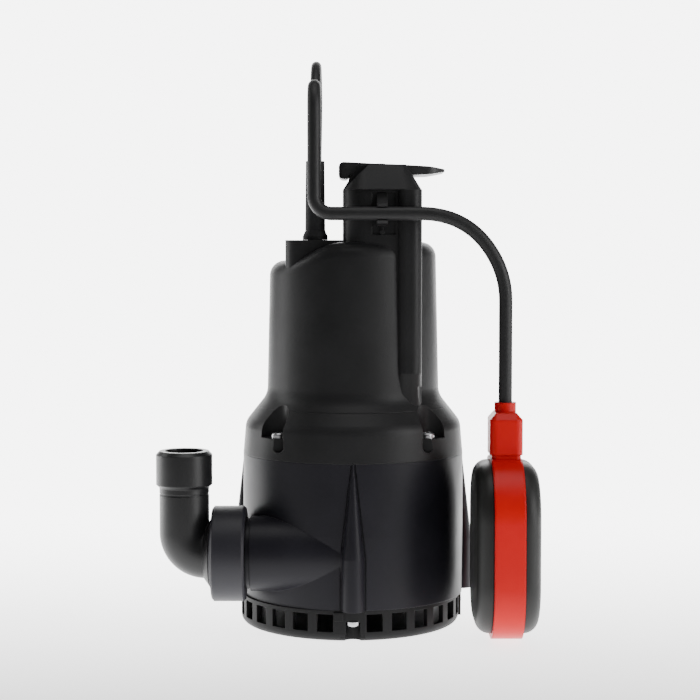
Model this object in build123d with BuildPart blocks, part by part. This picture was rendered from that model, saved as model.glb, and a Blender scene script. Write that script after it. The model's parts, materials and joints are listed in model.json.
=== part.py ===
from build123d import *
import os
from math import cos, sin, tan, radians, hypot, pi

os.makedirs("parts", exist_ok=True)

# Submersible drainage pump with a tethered float switch.
# Millimetres, +Z up. The pump's axis is Z, the front is -Y, and z = 0 is what the pump stands on.
# Angles around the pump are counted from the front, positive towards +X.

# ---- driving dimensions -------------------------------------------------------------------
CLEARANCE = 0.05            # between nested pieces that do not move
GAP = 0.3                   # between pieces that move against each other

BASE_X = -1.8               # the strainer sits slightly off the pump's axis
BASE_R = 65.5
BASE_H = 18.0               # joint between strainer and housing
BODY_R = 66.0
SPLIT_Z = 102.0             # joint between housing and motor cover
SHOULDER_LOW = (64.3, 120.8)
SHOULDER_HIGH = (51.4, 137.1)
NECK_TOP = (49.1, 240.0)
LOW_TOP_Z = 216.8           # top of the cover on the cable side
HIGH_TOP_Z = 227.8          # top of the cover on the pillar side
WALL = 3.2

RIB_ANGLES = (0, 97, 180, -97)
RIB_R = 6.5
RIB_STRAIGHT_Z = 48.0
RIB_TIP_Z = 103.0
SCREW_ANGLES = (47, 133, -133, -47)
COVER_SCREW_R = 59.0
POCKET_R = 9.3
POCKET_AT = 63.8
POCKET_Z = 114.3
BASE_SCREW_AT = 62.5

OUTLET_Y = -44.3            # the outlet is tangent to the front of the body
OUTLET_Z = 47.5
OUTLET_R = 21.6
SPIGOT_END = -70.0
NUT_R = 27.6
ELBOW_X = -97.7
ELBOW_R = 14.4
ELBOW_BORE_R = 11.2
ELBOW_BEND = 12.5
ELBOW_TOP = 107.4
COLLAR_R = 16.3

PILLAR_X = (-6.0, 39.8)
PILLAR_Y = (-43.0, 14.0)
COLUMN_X = (24.8, 39.8)
COLUMN_FRONT = -46.0
HOOD_Z = 258.0
HOOD_TOP = 272.6

BOOT_X = -22.2
FLOAT_CABLE_D = 7.8
POWER_CABLE_D = 6.2
FLOAT_LEAD_Y = -22.5        # where the float's cable leaves the boot
POWER_LEAD_Y = -13.0
BOOT_TOP = 275.0
TOWER_TOP = 229.0
CABLE_Y = -50.3             # plane of the float's cable in front of the pillar
CABLE_Z = 244.1
PIVOT_X = 24.3              # the float's cable swings here, beside its clip

FLOAT_X = 87.4
FLOAT_Y = CABLE_Y
FLOAT_LOW = 1.2
FLOAT_HIGH = 104.5
FLOAT_WIDE = 82.0
BAND_W = 17.4
SHELL_T = 36.0

SEAT_X = 46.4                # how far left of the pump's axis the check valve's seat starts
BRACKET_SCREW_R = 40.0

SHAFT_R = 6.0
SHAFT_END_R = 5.0


FOOT = (Align.CENTER, Align.CENTER, Align.MIN)


def polar(r, angle):
    """Plan position at radius r, at an angle from the front."""
    return (r * sin(radians(angle)), -r * cos(radians(angle)))


def arc_radii(points, share=0.45):
    """The largest tangent arc at each inner point of a route."""
    route = [Vector(*p) for p in points]
    radii = []
    for before, here, after in zip(route, route[1:], route[2:]):
        turn = (here - before).get_angle(after - here)
        shorter = min((here - before).length, (after - here).length)
        radii.append(share * shorter / tan(radians(turn / 2)))
    return radii


def tube(builder_name, points, diameter):
    """A round cord along straight runs joined by tangent arcs."""
    radii = arc_radii(points)
    with BuildPart() as cord:
        with BuildLine() as route:
            FilletPolyline(*points, radius=radii)
        with BuildSketch(route.line ^ 0):
            Circle(diameter / 2)
        sweep(path=route.line)
    length = sum(edge.length for edge in route.edges())
    expected = pi * diameter**2 / 4 * length
    print(builder_name, "radii", [round(r, 1) for r in radii],
          "length", round(length, 1),
          "volume ratio", round(cord.part.volume / expected, 4))
    return cord


# ---- strainer base ------------------------------------------------------------------------
WINDOW_ANGLES = [12.6 + 13.2 * i for i in range(6)] + [110.8 + 13.9 * i for i in range(5)]
WINDOW_W = 9.6
WINDOW_Z = (5.6, 15.8)
BASE_WALL = 3.0
BASE_FLOOR = 3.0

with BuildPart() as strainer_base:
    with Locations((BASE_X, 0, 0)):
        Cylinder(BASE_R, BASE_H, align=FOOT)
    fillet(strainer_base.edges().sort_by(Axis.Z)[0], 4.5)
    with Locations((BASE_X, 0, BASE_FLOOR)):
        Cylinder(BASE_R - BASE_WALL, BASE_H, align=FOOT,
                 mode=Mode.SUBTRACT)
    # screw bosses under the housing's ribs
    for angle in RIB_ANGLES:
        with BuildSketch(Plane.XY.offset(BASE_FLOOR - 1)):
            with Locations(polar(BASE_SCREW_AT - 1.5, angle)):
                Rectangle(14.5, 8.0, rotation=angle)
        extrude(amount=BASE_H - BASE_FLOOR + 1)
    # suction windows
    for side in (1, -1):
        for angle in WINDOW_ANGLES:
            window_x, window_y = polar(BASE_R, side * angle)
            with Locations(Location((BASE_X + window_x, window_y, sum(WINDOW_Z) / 2),
                                    (0, 0, side * angle))):
                Box(WINDOW_W, 16, WINDOW_Z[1] - WINDOW_Z[0], mode=Mode.SUBTRACT)
    # recesses for the base screws, open to the rim
    for angle in RIB_ANGLES:
        with Locations((*polar(BASE_SCREW_AT, angle), 0)):
            Cylinder(4.9, 11.6, align=FOOT,
                     mode=Mode.SUBTRACT)
            Cylinder(2.3, BASE_H, align=FOOT,
                     mode=Mode.SUBTRACT)
        mouth_x, mouth_y = polar(BASE_SCREW_AT + 6, angle)
        with Locations(Location((mouth_x, mouth_y, 2.2), (0, 0, angle))):
            Box(9.0, 14, 4.4, mode=Mode.SUBTRACT)
        with Locations(Location((mouth_x, mouth_y, 8.6), (0, 0, angle))):
            Box(8.2, 10, 6.0, mode=Mode.SUBTRACT)
    # locating tab beside the front boss
    with Locations((-8.4, -64.6, 14.6)):
        Box(5.6, 4.0, 4.8)
strainer_base.part.label = "strainer_base"
export_step(strainer_base.part, "parts/strainer_base.step")

# ---- suction plate: closes the pump chamber, with the inlet eye ---------------------------
PLATE_Z = (BASE_H, 23.6)
EYE_R = 19.0
CHAMBER_R = 58.0
CHAMBER_TOP = 67.0

with BuildPart() as suction_plate:
    with BuildSketch(Plane.XZ):
        with BuildLine():
            Polyline((EYE_R, PLATE_Z[0]), (61.8, PLATE_Z[0]), (61.8, PLATE_Z[1]),
                     (44, PLATE_Z[1]), (EYE_R + 3, PLATE_Z[1] + 2.6), (EYE_R, PLATE_Z[1] + 2.6),
                     close=True)
        make_face()
    revolve(axis=Axis.Z)
    # the plate is cut away where the base screws pass
    for angle in RIB_ANGLES:
        with Locations((*polar(BASE_SCREW_AT, angle), PLATE_Z[0])):
            Cylinder(3.4, 6, align=FOOT, mode=Mode.SUBTRACT)
suction_plate.part.label = "suction_plate"
export_step(suction_plate.part, "parts/suction_plate.step")

# ---- pump housing: volute chamber, outlet pipe, ribs, bosses for the cover ----------------
with BuildPart() as pump_housing:
    with BuildSketch(Plane.XZ):
        with BuildLine():
            Polyline((0, BASE_H + 0.05), (BODY_R - 0.3, BASE_H + 0.05), (BODY_R + 0.1, 60),
                     (BODY_R - 0.1, SPLIT_Z), (0, SPLIT_Z), close=True)
        make_face()
    revolve(axis=Axis.Z)
    # ribs: half-round bosses that taper to a point, each in a narrow groove
    rib_spots = [(*polar(BODY_R, angle), 0) for angle in RIB_ANGLES]
    straight = RIB_STRAIGHT_Z - BASE_H
    for grow, how in ((1.0, Mode.SUBTRACT), (0.0, Mode.ADD)):
        with Locations(*[Location((x, y, BASE_H + 0.05)) for x, y, _ in rib_spots]):
            Cylinder(RIB_R + grow, straight, align=FOOT, mode=how)
        with Locations(*[Location((x, y, RIB_STRAIGHT_Z + 0.05)) for x, y, _ in rib_spots]):
            Cone(RIB_R + grow, 0.4 + grow, RIB_TIP_Z - RIB_STRAIGHT_Z - 1.2, align=FOOT, mode=how)
        if how == Mode.SUBTRACT:
            # only the skin is grooved
            with Locations((0, 0, BASE_H + 0.05)):
                Cylinder(BODY_R - 0.9, SPLIT_Z - BASE_H - 0.05, align=FOOT)
    # outlet pipe with a neck and the spigot that the union nut screws on
    outlet = Plane(origin=(0, OUTLET_Y, OUTLET_Z), x_dir=(0, 1, 0), z_dir=(-1, 0, 0))
    for start, end, radius in ((3, 59.2, OUTLET_R), (59, 61.6, 20.3), (61.4, 70, 19.4)):
        with BuildSketch(outlet.offset(start)):
            Circle(radius)
        extrude(amount=end - start)
    # wet chamber, plate recess and the dry space above the diaphragm
    for low, high, radius in ((23.6, CHAMBER_TOP, CHAMBER_R), (17, 23.7, 62.0),
                              (66, 72, 30.5), (71, SPLIT_Z + 1, 62.6)):
        with BuildSketch(Plane.XY.offset(low)):
            Circle(radius)
        extrude(amount=high - low, mode=Mode.SUBTRACT)
    # bores of the outlet: narrow behind the check seat, wide in front of it
    for start, end, radius in ((0, 71, 13.5), (SEAT_X, 71, 17.0)):
        with BuildSketch(outlet.offset(start)):
            Circle(radius)
        extrude(amount=end - start, mode=Mode.SUBTRACT)
    # room for the union nut's rim beside the body
    with BuildSketch(outlet.offset(61.7)):
        Circle(NUT_R + 0.5)
        Circle(20.3, mode=Mode.SUBTRACT)
    extrude(amount=30, mode=Mode.SUBTRACT)
    # pilot holes for the bearing bracket
    with BuildSketch(Plane.XY.offset(CHAMBER_TOP - 1)):
        with PolarLocations(BRACKET_SCREW_R, 6, start_angle=30):
            Circle(1.95)
    extrude(amount=8, mode=Mode.SUBTRACT)
    # bosses for the cover screws
    for angle in SCREW_ANGLES:
        with BuildSketch(Plane.XY.offset(80)):
            with Locations(polar(COVER_SCREW_R, angle)):
                Circle(6.2)
        extrude(amount=SPLIT_Z - 80)
        with BuildSketch(Plane.XY.offset(84)):
            with Locations(polar(COVER_SCREW_R, angle)):
                Circle(2.05)
        extrude(amount=SPLIT_Z - 84, mode=Mode.SUBTRACT)
    # groove of the cover's O-ring
    with BuildSketch(Plane.XY.offset(SPLIT_Z - 1.15)):
        Circle(64.2)
        Circle(63.0, mode=Mode.SUBTRACT)
    extrude(amount=3, mode=Mode.SUBTRACT)
    for angle in RIB_ANGLES:
        with BuildSketch(Plane.XY.offset(BASE_H)):
            with Locations(polar(BASE_SCREW_AT, angle)):
                Circle(2.05)
        extrude(amount=16, mode=Mode.SUBTRACT)
pump_housing.part.label = "pump_housing"
export_step(pump_housing.part, "parts/pump_housing.step")

# ---- handle on the hood -------------------------------------------------------------------
HANDLE_Z = 266.8
HANDLE_SCREW_X = 15.6
HANDLE_SCREW_Y = (-19, 2)
with BuildPart() as handle_grip:
    with BuildSketch(Plane.XY.offset(HANDLE_Z - 3)):
        with BuildLine():
            FilletPolyline((-8.4, -27), (15, -28), (24, -33.5), (47, -33), (53.6, -25),
                           (53.6, 8), (44, 16), (-2, 14), (-8.4, 6), close=True,
                           radius=[5, 10, 8, 9, 8, 8, 9, 6, 5])
        make_face()
    extrude(amount=14)
    # side profile: thick rounded left end, thin right wing
    with BuildSketch(Plane.XZ):
        with BuildLine():
            FilletPolyline((-8.4, 264.6), (-8.4, 274.6), (0, 274.2), (44, 271.7), (53.7, 270.2),
                           (53.7, 268.6), (44, 267.0), (36, HANDLE_Z), (-2.7, HANDLE_Z),
                           (-2.7, 264.6), close=True,
                           radius=[2.4, 2.9, 9, 18, 0.7, 0.7, 20, 20, 1.2, 2.0])
        make_face()
    extrude(amount=60, both=True, mode=Mode.INTERSECT)
    for hole_y in HANDLE_SCREW_Y:
        with Locations((HANDLE_SCREW_X, hole_y, 260)):
            Cylinder(1.9, 20, align=FOOT, mode=Mode.SUBTRACT)
        with Locations((HANDLE_SCREW_X, hole_y, 271.6)):
            Cylinder(3.6, 10, align=FOOT, mode=Mode.SUBTRACT)
handle_grip.part.label = "handle_grip"
export_step(handle_grip.part, "parts/handle_grip.step")


# ---- motor cover: neck, shoulder, cable tower, pillar and hood ----------------------------
BODY_PROFILE = [(BODY_R - 0.1, SPLIT_Z), SHOULDER_LOW, SHOULDER_HIGH, NECK_TOP]
SHOULDER_ROUND = (10.0, 13.0)
TOP_ROUND = 9.0
PILLAR_MID = (sum(PILLAR_X) / 2, sum(PILLAR_Y) / 2)
TOWER_X = (-39.6, -3.0)
TOWER_Y = (-35.0, 1.0)

# inside of the cover: the outline moved in by the wall, less the blocks that hold the screws
with BuildPart() as cover_cavity:
    with BuildSketch(Plane.XZ):
        with BuildLine():
            Polyline((0, SPLIT_Z - 1), (62.6, SPLIT_Z - 1), (61.0, 119.4), (48.4, 135.6),
                     (46.5, 203.0), (40.0, 211.5), (0, 211.5), close=True)
        make_face()
    revolve(axis=Axis.Z)
    with BuildSketch(Plane.XY.offset(200)):
        with Locations(PILLAR_MID):
            RectangleRounded(PILLAR_X[1] - PILLAR_X[0] - 2 * WALL,
                             PILLAR_Y[1] - PILLAR_Y[0] - 2 * WALL, 9)
    extrude(amount=54)
    with BuildSketch(Plane.XY.offset(200)):
        with Locations((sum(TOWER_X) / 2, sum(TOWER_Y) / 2)):
            RectangleRounded(TOWER_X[1] - TOWER_X[0] - 2 * WALL,
                             TOWER_Y[1] - TOWER_Y[0] - 2 * WALL, 6)
    extrude(amount=TOWER_TOP - WALL - 200)
    for angle in SCREW_ANGLES:
        with Locations((*polar(POCKET_AT, angle), POCKET_Z - WALL)):
            Cylinder(POCKET_R + WALL, 27, align=FOOT, mode=Mode.SUBTRACT)
        with Locations((*polar(COVER_SCREW_R, angle), SPLIT_Z - 2)):
            Cylinder(7.0, POCKET_Z - SPLIT_Z + 2, align=FOOT, mode=Mode.SUBTRACT)

with BuildPart() as motor_cover:
    with BuildSketch(Plane.XZ) as outline:
        with BuildLine():
            Polyline((0, SPLIT_Z), *BODY_PROFILE, (0, NECK_TOP[1]), close=True)
        make_face()
        for corner, radius in zip((SHOULDER_LOW, SHOULDER_HIGH), SHOULDER_ROUND):
            at_corner = Vector(corner[0], 0, corner[1])
            fillet(outline.vertices().sort_by_distance(corner)[0], radius)
    revolve(axis=Axis.Z)
    # the top steps down in a smooth sweep towards the cable side
    with BuildSketch(Plane.XZ):
        with BuildLine():
            Line((-90, LOW_TOP_Z), (-41, LOW_TOP_Z))
            Spline((-41, LOW_TOP_Z), (-5, HIGH_TOP_Z), tangents=((1, 0), (1, 0)))
            Polyline((-5, HIGH_TOP_Z), (90, HIGH_TOP_Z), (90, 260), (-90, 260), (-90, LOW_TOP_Z))
        make_face()
    extrude(amount=90, both=True, mode=Mode.SUBTRACT)
    rim = motor_cover.edges().filter_by(
        lambda e: (e @ 0.5).Z > 210 and hypot((e @ 0.5).X, (e @ 0.5).Y) > 46)
    fillet(rim, TOP_ROUND)
    # cable tower
    with BuildSketch(Plane.XY.offset(205)):
        with Locations((sum(TOWER_X) / 2, sum(TOWER_Y) / 2)):
            RectangleRounded(TOWER_X[1] - TOWER_X[0], TOWER_Y[1] - TOWER_Y[0], 9)
    extrude(amount=TOWER_TOP - 205)
    # pillar, with the column at its front right corner running down the body
    with BuildSketch(Plane.XY.offset(190)) as plan:
        with Locations(PILLAR_MID):
            RectangleRounded(PILLAR_X[1] - PILLAR_X[0], PILLAR_Y[1] - PILLAR_Y[0], 13)
    extrude(amount=HOOD_Z - 190)
    column_mid = (sum(COLUMN_X) / 2, COLUMN_FRONT + 12)
    with BuildSketch(Plane.XY.offset(152)):
        with Locations(column_mid):
            RectangleRounded(COLUMN_X[1] - COLUMN_X[0], 24, 6)
    extrude(amount=HOOD_Z - 152)
    # the column's foot leans back and dies into the shoulder
    with BuildSketch(Plane.XY.offset(152)):
        with Locations(column_mid):
            RectangleRounded(COLUMN_X[1] - COLUMN_X[0], 24, 6)
    with BuildSketch(Plane.XY.offset(126)):
        with Locations((column_mid[0] - 1.5, column_mid[1] + 7)):
            RectangleRounded(COLUMN_X[1] - COLUMN_X[0] + 3, 24, 6)
    loft(ruled=True)
    # hood: the pillar's top draws in towards the handle
    with BuildSketch(Plane.XY.offset(HOOD_Z)):
        with Locations((PILLAR_MID[0], (PILLAR_Y[1] + COLUMN_FRONT) / 2)):
            RectangleRounded(PILLAR_X[1] - PILLAR_X[0], PILLAR_Y[1] - COLUMN_FRONT, 12)
    extrude(amount=HOOD_TOP - HOOD_Z, taper=32)
    # the hood's front left corner is cut off at 45 degrees
    with BuildSketch(Plane.XZ.offset(-PILLAR_Y[1] + 43)):
        with BuildLine():
            Polyline((-20, HOOD_Z - 15), (-5.4, HOOD_Z), (9.4, HOOD_TOP + 0.2),
                     (9.4, 290), (-20, 290), close=True)
        make_face()
    extrude(amount=40, mode=Mode.SUBTRACT)
    # web under the handle, set back behind the cut corner
    with BuildSketch(Plane.XY.offset(HOOD_Z - 4)):
        with Locations((15.6, -10)):
            RectangleRounded(36.4, 38, 4)
    extrude(amount=12.6)
    # shallow front panel of the pillar
    with BuildSketch(Plane.XY.offset(232)):
        with Locations((17.8, PILLAR_Y[0])):
            Rectangle(13.8, 2.2)
    extrude(amount=HOOD_Z - 233.5, mode=Mode.SUBTRACT)
    # crease around the shoulder
    with BuildSketch(Plane.XZ):
        with BuildLine():
            Polyline((58.2, 129.2), (59.2, 131.4), (56.6, 130.2), close=True)
        make_face()
    revolve(axis=Axis.Z, mode=Mode.SUBTRACT)
    # screw pockets in the shoulder, open to the outside, with a slot below each
    for angle in SCREW_ANGLES:
        with Locations((*polar(POCKET_AT, angle), POCKET_Z)):
            Cylinder(POCKET_R, 30, align=FOOT, mode=Mode.SUBTRACT)
        with Locations((*polar(COVER_SCREW_R, angle), SPLIT_Z - 1)):
            Cylinder(2.5, 20, align=FOOT, mode=Mode.SUBTRACT)
        slot_x, slot_y = polar(COVER_SCREW_R, angle)
        slot_way = -1 if slot_y < 0 else 1
        with Locations((slot_x, slot_y + slot_way * 12.0, 112.2)):
            Box(6.4, 12, 5, mode=Mode.SUBTRACT)
        with Locations(Location((slot_x, slot_y + slot_way * 12.0, 109.7), (90, 0, 0))):
            Cylinder(3.2, 12, mode=Mode.SUBTRACT)
    add(cover_cavity.part, mode=Mode.SUBTRACT)
    # opening in the tower for the cable boot
    with BuildSketch(Plane.XY.offset(220)):
        with Locations((BOOT_X, (FLOAT_LEAD_Y + POWER_LEAD_Y) / 2)):
            RectangleRounded(9.2, 18.2, 4.2)
    extrude(amount=12, mode=Mode.SUBTRACT)
    # seat of the handle and its screw holes
    add(handle_grip.part, mode=Mode.SUBTRACT)
    with Locations((38, 1.3, HANDLE_Z)):
        Box(34, 69.6, 12, align=FOOT, mode=Mode.SUBTRACT)
    for hole_y in HANDLE_SCREW_Y:
        with Locations((HANDLE_SCREW_X, hole_y, HANDLE_Z)):
            Cylinder(4, 12, align=FOOT, mode=Mode.SUBTRACT)
        with Locations((HANDLE_SCREW_X, hole_y, 252)):
            Cylinder(1.55, 20, align=FOOT, mode=Mode.SUBTRACT)
    split(bisect_by=Plane.XY.offset(SPLIT_Z + 0.05), keep=Keep.TOP)

motor_cover.part.label = "motor_cover"
export_step(motor_cover.part, "parts/motor_cover.step")

# ---- fasteners ------------------------------------------------------------------------------
def pan_screw(head_r, head_h, shank_r, shank):
    """A cross-recessed pan screw, head up, its head's underside at z = 0."""
    with BuildPart(mode=Mode.PRIVATE) as screw:
        with Locations((0, 0, -shank)):
            Cylinder(shank_r, shank, align=FOOT)
        Cylinder(head_r, head_h, align=FOOT)
        fillet(screw.edges().group_by(Axis.Z)[-1], 0.45 * head_h)
        with Locations((0, 0, head_h)):
            Box(1.15 * head_r, 0.26 * head_r, 1.1 * head_h, mode=Mode.SUBTRACT)
            Box(0.26 * head_r, 1.15 * head_r, 1.1 * head_h, mode=Mode.SUBTRACT)
    return screw.part


COVER_SCREW = pan_screw(4.2, 3.2, 2.0, 28)
with BuildPart() as cover_screws:
    for angle in SCREW_ANGLES:
        with Locations(Location((*polar(COVER_SCREW_R, angle), POCKET_Z + 0.02), (0, 0, 20))):
            add(COVER_SCREW)
cover_screws.part.label = "cover_screws"
export_step(cover_screws.part, "parts/cover_screws.step")

BASE_SCREW = pan_screw(4.1, 2.8, 2.0, 20)
with BuildPart() as base_screws:
    for angle in RIB_ANGLES:
        with Locations(Location((*polar(BASE_SCREW_AT, angle), 11.58), (180, 0, angle))):
            add(BASE_SCREW)
base_screws.part.label = "base_screws"
export_step(base_screws.part, "parts/base_screws.step")

HANDLE_SCREW = pan_screw(3.4, 2.2, 1.5, 16)
with BuildPart() as handle_screws:
    for hole_y in HANDLE_SCREW_Y:
        with Locations((HANDLE_SCREW_X, hole_y, 271.62)):
            add(HANDLE_SCREW)
handle_screws.part.label = "handle_screws"
export_step(handle_screws.part, "parts/handle_screws.step")

# ---- rotating group: shaft, rotor, impeller ------------------------------------------------
STACK_Z = (118.0, 172.0)
LOWER_BEARING_Z = (92.0, 102.0)
UPPER_BEARING_Z = (187.0, 196.0)
IMPELLER_Z = (30.0, 56.0)
IMPELLER_R = 41.0

with BuildPart() as shaft:
    for low, high, radius in ((23, 30, 4), (30, 60, SHAFT_END_R), (60, 186.9, SHAFT_R),
                              (186.9, 198, SHAFT_END_R)):
        with Locations((0, 0, low)):
            Cylinder(radius, high - low, align=FOOT)
    with Locations((0, 0, 84.3)):
        Cylinder(8.5, 1.5, align=FOOT)
shaft.part.label = "shaft"
export_step(shaft.part, "parts/shaft.step")

with BuildPart() as rotor_core:
    with Locations((0, 0, STACK_Z[0])):
        Cylinder(23.5, STACK_Z[1] - STACK_Z[0], align=FOOT)
    for low in (STACK_Z[0] - 5, STACK_Z[1]):
        with Locations((0, 0, low)):
            Cylinder(21.5, 5, align=FOOT)
            Cylinder(14, 5, align=FOOT, mode=Mode.SUBTRACT)
    # cooling fins on the end rings
    for low in (STACK_Z[0] - 9, STACK_Z[1] + 5):
        with Locations((0, 0, low)):
            with PolarLocations(17.5, 8):
                Box(5, 1.6, 4, align=FOOT)
    Cylinder(SHAFT_R, 400, mode=Mode.SUBTRACT)
rotor_core.part.label = "rotor_core"
export_step(rotor_core.part, "parts/rotor_core.step")


def vane_arc(angle):
    """Three plan points of a backward-curved vane."""
    hub, mid, tip = polar(8, angle), polar(25, angle - 22), polar(IMPELLER_R - 0.8, angle - 62)
    return hub, mid, tip


with BuildPart() as impeller:
    with BuildSketch(Plane.XZ):
        with BuildLine():
            Polyline((SHAFT_END_R, IMPELLER_Z[0]), (8.5, IMPELLER_Z[0]), (11, 50.5),
                     (IMPELLER_R, 51.5), (IMPELLER_R, 54), (12, 54.5), (10, IMPELLER_Z[1]),
                     (SHAFT_END_R, IMPELLER_Z[1]), close=True)
        make_face()
    revolve(axis=Axis.Z)
    for angle in range(0, 360, 60):
        with BuildSketch(Plane.XY.offset(32)):
            with BuildLine():
                ThreePointArc(*vane_arc(angle))
            trace(line_width=2.6)
        extrude(amount=20)
    with Locations((0, 0, IMPELLER_Z[0] - 1)):
        Cylinder(SHAFT_END_R, 40, align=FOOT, mode=Mode.SUBTRACT)
impeller.part.label = "impeller"
export_step(impeller.part, "parts/impeller.step")

with BuildPart() as impeller_nut:
    with BuildSketch(Plane.XY.offset(24.2)):
        RegularPolygon(6.5, 6, major_radius=False)
        Circle(4, mode=Mode.SUBTRACT)
    extrude(amount=5.75)
impeller_nut.part.label = "impeller_nut"
export_step(impeller_nut.part, "parts/impeller_nut.step")

# ---- stator ---------------------------------------------------------------------------------
CAN_R = (44.8, 46.1)
BORE_R = 24.2
SLOTS = 24

with BuildPart() as stator_core:
    with BuildSketch(Plane.XY.offset(STACK_Z[0])):
        Circle(CAN_R[0] - CLEARANCE)
        Circle(BORE_R, mode=Mode.SUBTRACT)
        with PolarLocations(32.5, SLOTS):
            Rectangle(11, 3.6, mode=Mode.SUBTRACT)
        with PolarLocations(26, SLOTS):
            Rectangle(6, 1.6, mode=Mode.SUBTRACT)
    extrude(amount=STACK_Z[1] - STACK_Z[0])
stator_core.part.label = "stator_core"
export_step(stator_core.part, "parts/stator_core.step")

with BuildPart() as stator_windings:
    for low in (STACK_Z[0] - 11.5, STACK_Z[1] + 0.2):
        with BuildSketch(Plane.XY.offset(low)):
            Circle(39.5)
            Circle(26.5, mode=Mode.SUBTRACT)
        extrude(amount=11.3)
    fillet(stator_windings.edges().filter_by(GeomType.CIRCLE), 3.5)
    with BuildSketch(Plane.XY.offset(STACK_Z[0] - 4)):
        with PolarLocations(32.6, SLOTS):
            Rectangle(10.4, 3.3)
    extrude(amount=STACK_Z[1] - STACK_Z[0] + 8)
stator_windings.part.label = "stator_windings"
export_step(stator_windings.part, "parts/stator_windings.step")

with BuildPart() as motor_can:
    with BuildSketch(Plane.XY.offset(76)):
        Circle(CAN_R[1])
        Circle(CAN_R[0], mode=Mode.SUBTRACT)
    extrude(amount=123)
motor_can.part.label = "motor_can"
export_step(motor_can.part, "parts/motor_can.step")

# ---- bearings -------------------------------------------------------------------------------
def bearing(z_range, bore_r, outer_r, balls):
    """Outer ring, inner ring and the balls in their cage, as three parts."""
    low, high = z_range
    pitch_r, ball_r = (bore_r + outer_r) / 2, 0.3 * (outer_r - bore_r)
    mid = (low + high) / 2
    rings = []
    for inside, outside in ((pitch_r + 0.55 * ball_r, outer_r), (bore_r, pitch_r - 0.55 * ball_r)):
        with BuildPart(mode=Mode.PRIVATE) as ring:
            with BuildSketch(Plane.XY.offset(low)):
                Circle(outside)
                Circle(inside, mode=Mode.SUBTRACT)
            extrude(amount=high - low)
            with BuildSketch(Plane.XZ):
                with Locations((pitch_r, mid)):
                    Circle(ball_r + 0.03)
            revolve(axis=Axis.Z, mode=Mode.SUBTRACT)
        rings.append(ring.part)
    with BuildPart(mode=Mode.PRIVATE) as cage:
        with BuildSketch(Plane.XY.offset(mid - 0.7)):
            Circle(pitch_r + 0.4 * ball_r)
            Circle(pitch_r - 0.4 * ball_r, mode=Mode.SUBTRACT)
        extrude(amount=1.4)
        with Locations((0, 0, mid)):
            with PolarLocations(pitch_r, balls):
                Sphere(ball_r)
    return rings[0], rings[1], cage.part


lower_rings = bearing(LOWER_BEARING_Z, SHAFT_R, 16.0, 7)
upper_rings = bearing(UPPER_BEARING_Z, SHAFT_END_R, 15.0, 7)
for place, pieces in (("lower", lower_rings), ("upper", upper_rings)):
    for piece, kind in zip(pieces, ("outer_ring", "inner_ring", "balls")):
        piece.label = f"{place}_bearing_{kind}"
        export_step(piece, f"parts/{place}_bearing_{kind}.step")

# ---- seals ----------------------------------------------------------------------------------
with BuildPart() as seal_plate:
    with BuildSketch(Plane.XZ):
        with BuildLine():
            Polyline((8, 60.5), (16, 60.5), (18, 62.2), (57.7, 62.2), (57.7, 66.95), (15, 66.95),
                     (15, 69), (12.05, 69), (12.05, 63), (8, 63), close=True)
        make_face()
        with Locations((57.7, 64.6)):
            Rectangle(3.6, 2.8, mode=Mode.SUBTRACT)
    revolve(axis=Axis.Z)
seal_plate.part.label = "seal_plate"
export_step(seal_plate.part, "parts/seal_plate.step")

with BuildPart() as housing_o_ring:
    with BuildSketch(Plane.XZ):
        with Locations((56.95, 64.6)):
            Circle(0.95)
    revolve(axis=Axis.Z)
housing_o_ring.part.label = "housing_o_ring"
export_step(housing_o_ring.part, "parts/housing_o_ring.step")

with BuildPart() as seal_seat:
    with BuildSketch(Plane.XY.offset(63.05)):
        Circle(12)
        Circle(6.4, mode=Mode.SUBTRACT)
    extrude(amount=5.6)
seal_seat.part.label = "seal_seat"
export_step(seal_seat.part, "parts/seal_seat.step")

with BuildPart() as seal_face:
    with BuildSketch(Plane.XZ):
        with BuildLine():
            Polyline((SHAFT_R, 68.75), (9.5, 68.75), (9.5, 70.5), (11, 70.5), (11, 74), (SHAFT_R, 74),
                     close=True)
        make_face()
    revolve(axis=Axis.Z)
seal_face.part.label = "seal_face"
export_step(seal_face.part, "parts/seal_face.step")

SPRING_R = 7.6
with BuildPart() as seal_spring:
    with BuildLine() as coil_line:
        Helix(pitch=2.9, height=7.2, radius=SPRING_R, center=(0, 0, 75.5))
    with BuildSketch(coil_line.line ^ 0):
        Circle(0.8)
    sweep(path=coil_line.line, is_frenet=True)
    for low in (74.05, 83.1):
        with BuildSketch(Plane.XY.offset(low)):
            Circle(SPRING_R + 0.8)
            Circle(SPRING_R - 0.8, mode=Mode.SUBTRACT)
        extrude(amount=1.15)
seal_spring.part.label = "seal_spring"
export_step(seal_spring.part, "parts/seal_spring.step")

with BuildPart() as lip_seal:
    with BuildSketch(Plane.XZ):
        with BuildLine():
            Polyline((12, 86.2), (12, 91.5), (10.6, 91.5), (10.6, 88.4), (7.4, 88.6), (6.04, 90.2),
                     (6.04, 89.2), (7, 86.2), close=True)
        make_face()
    revolve(axis=Axis.Z)
lip_seal.part.label = "lip_seal"
export_step(lip_seal.part, "parts/lip_seal.step")

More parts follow.
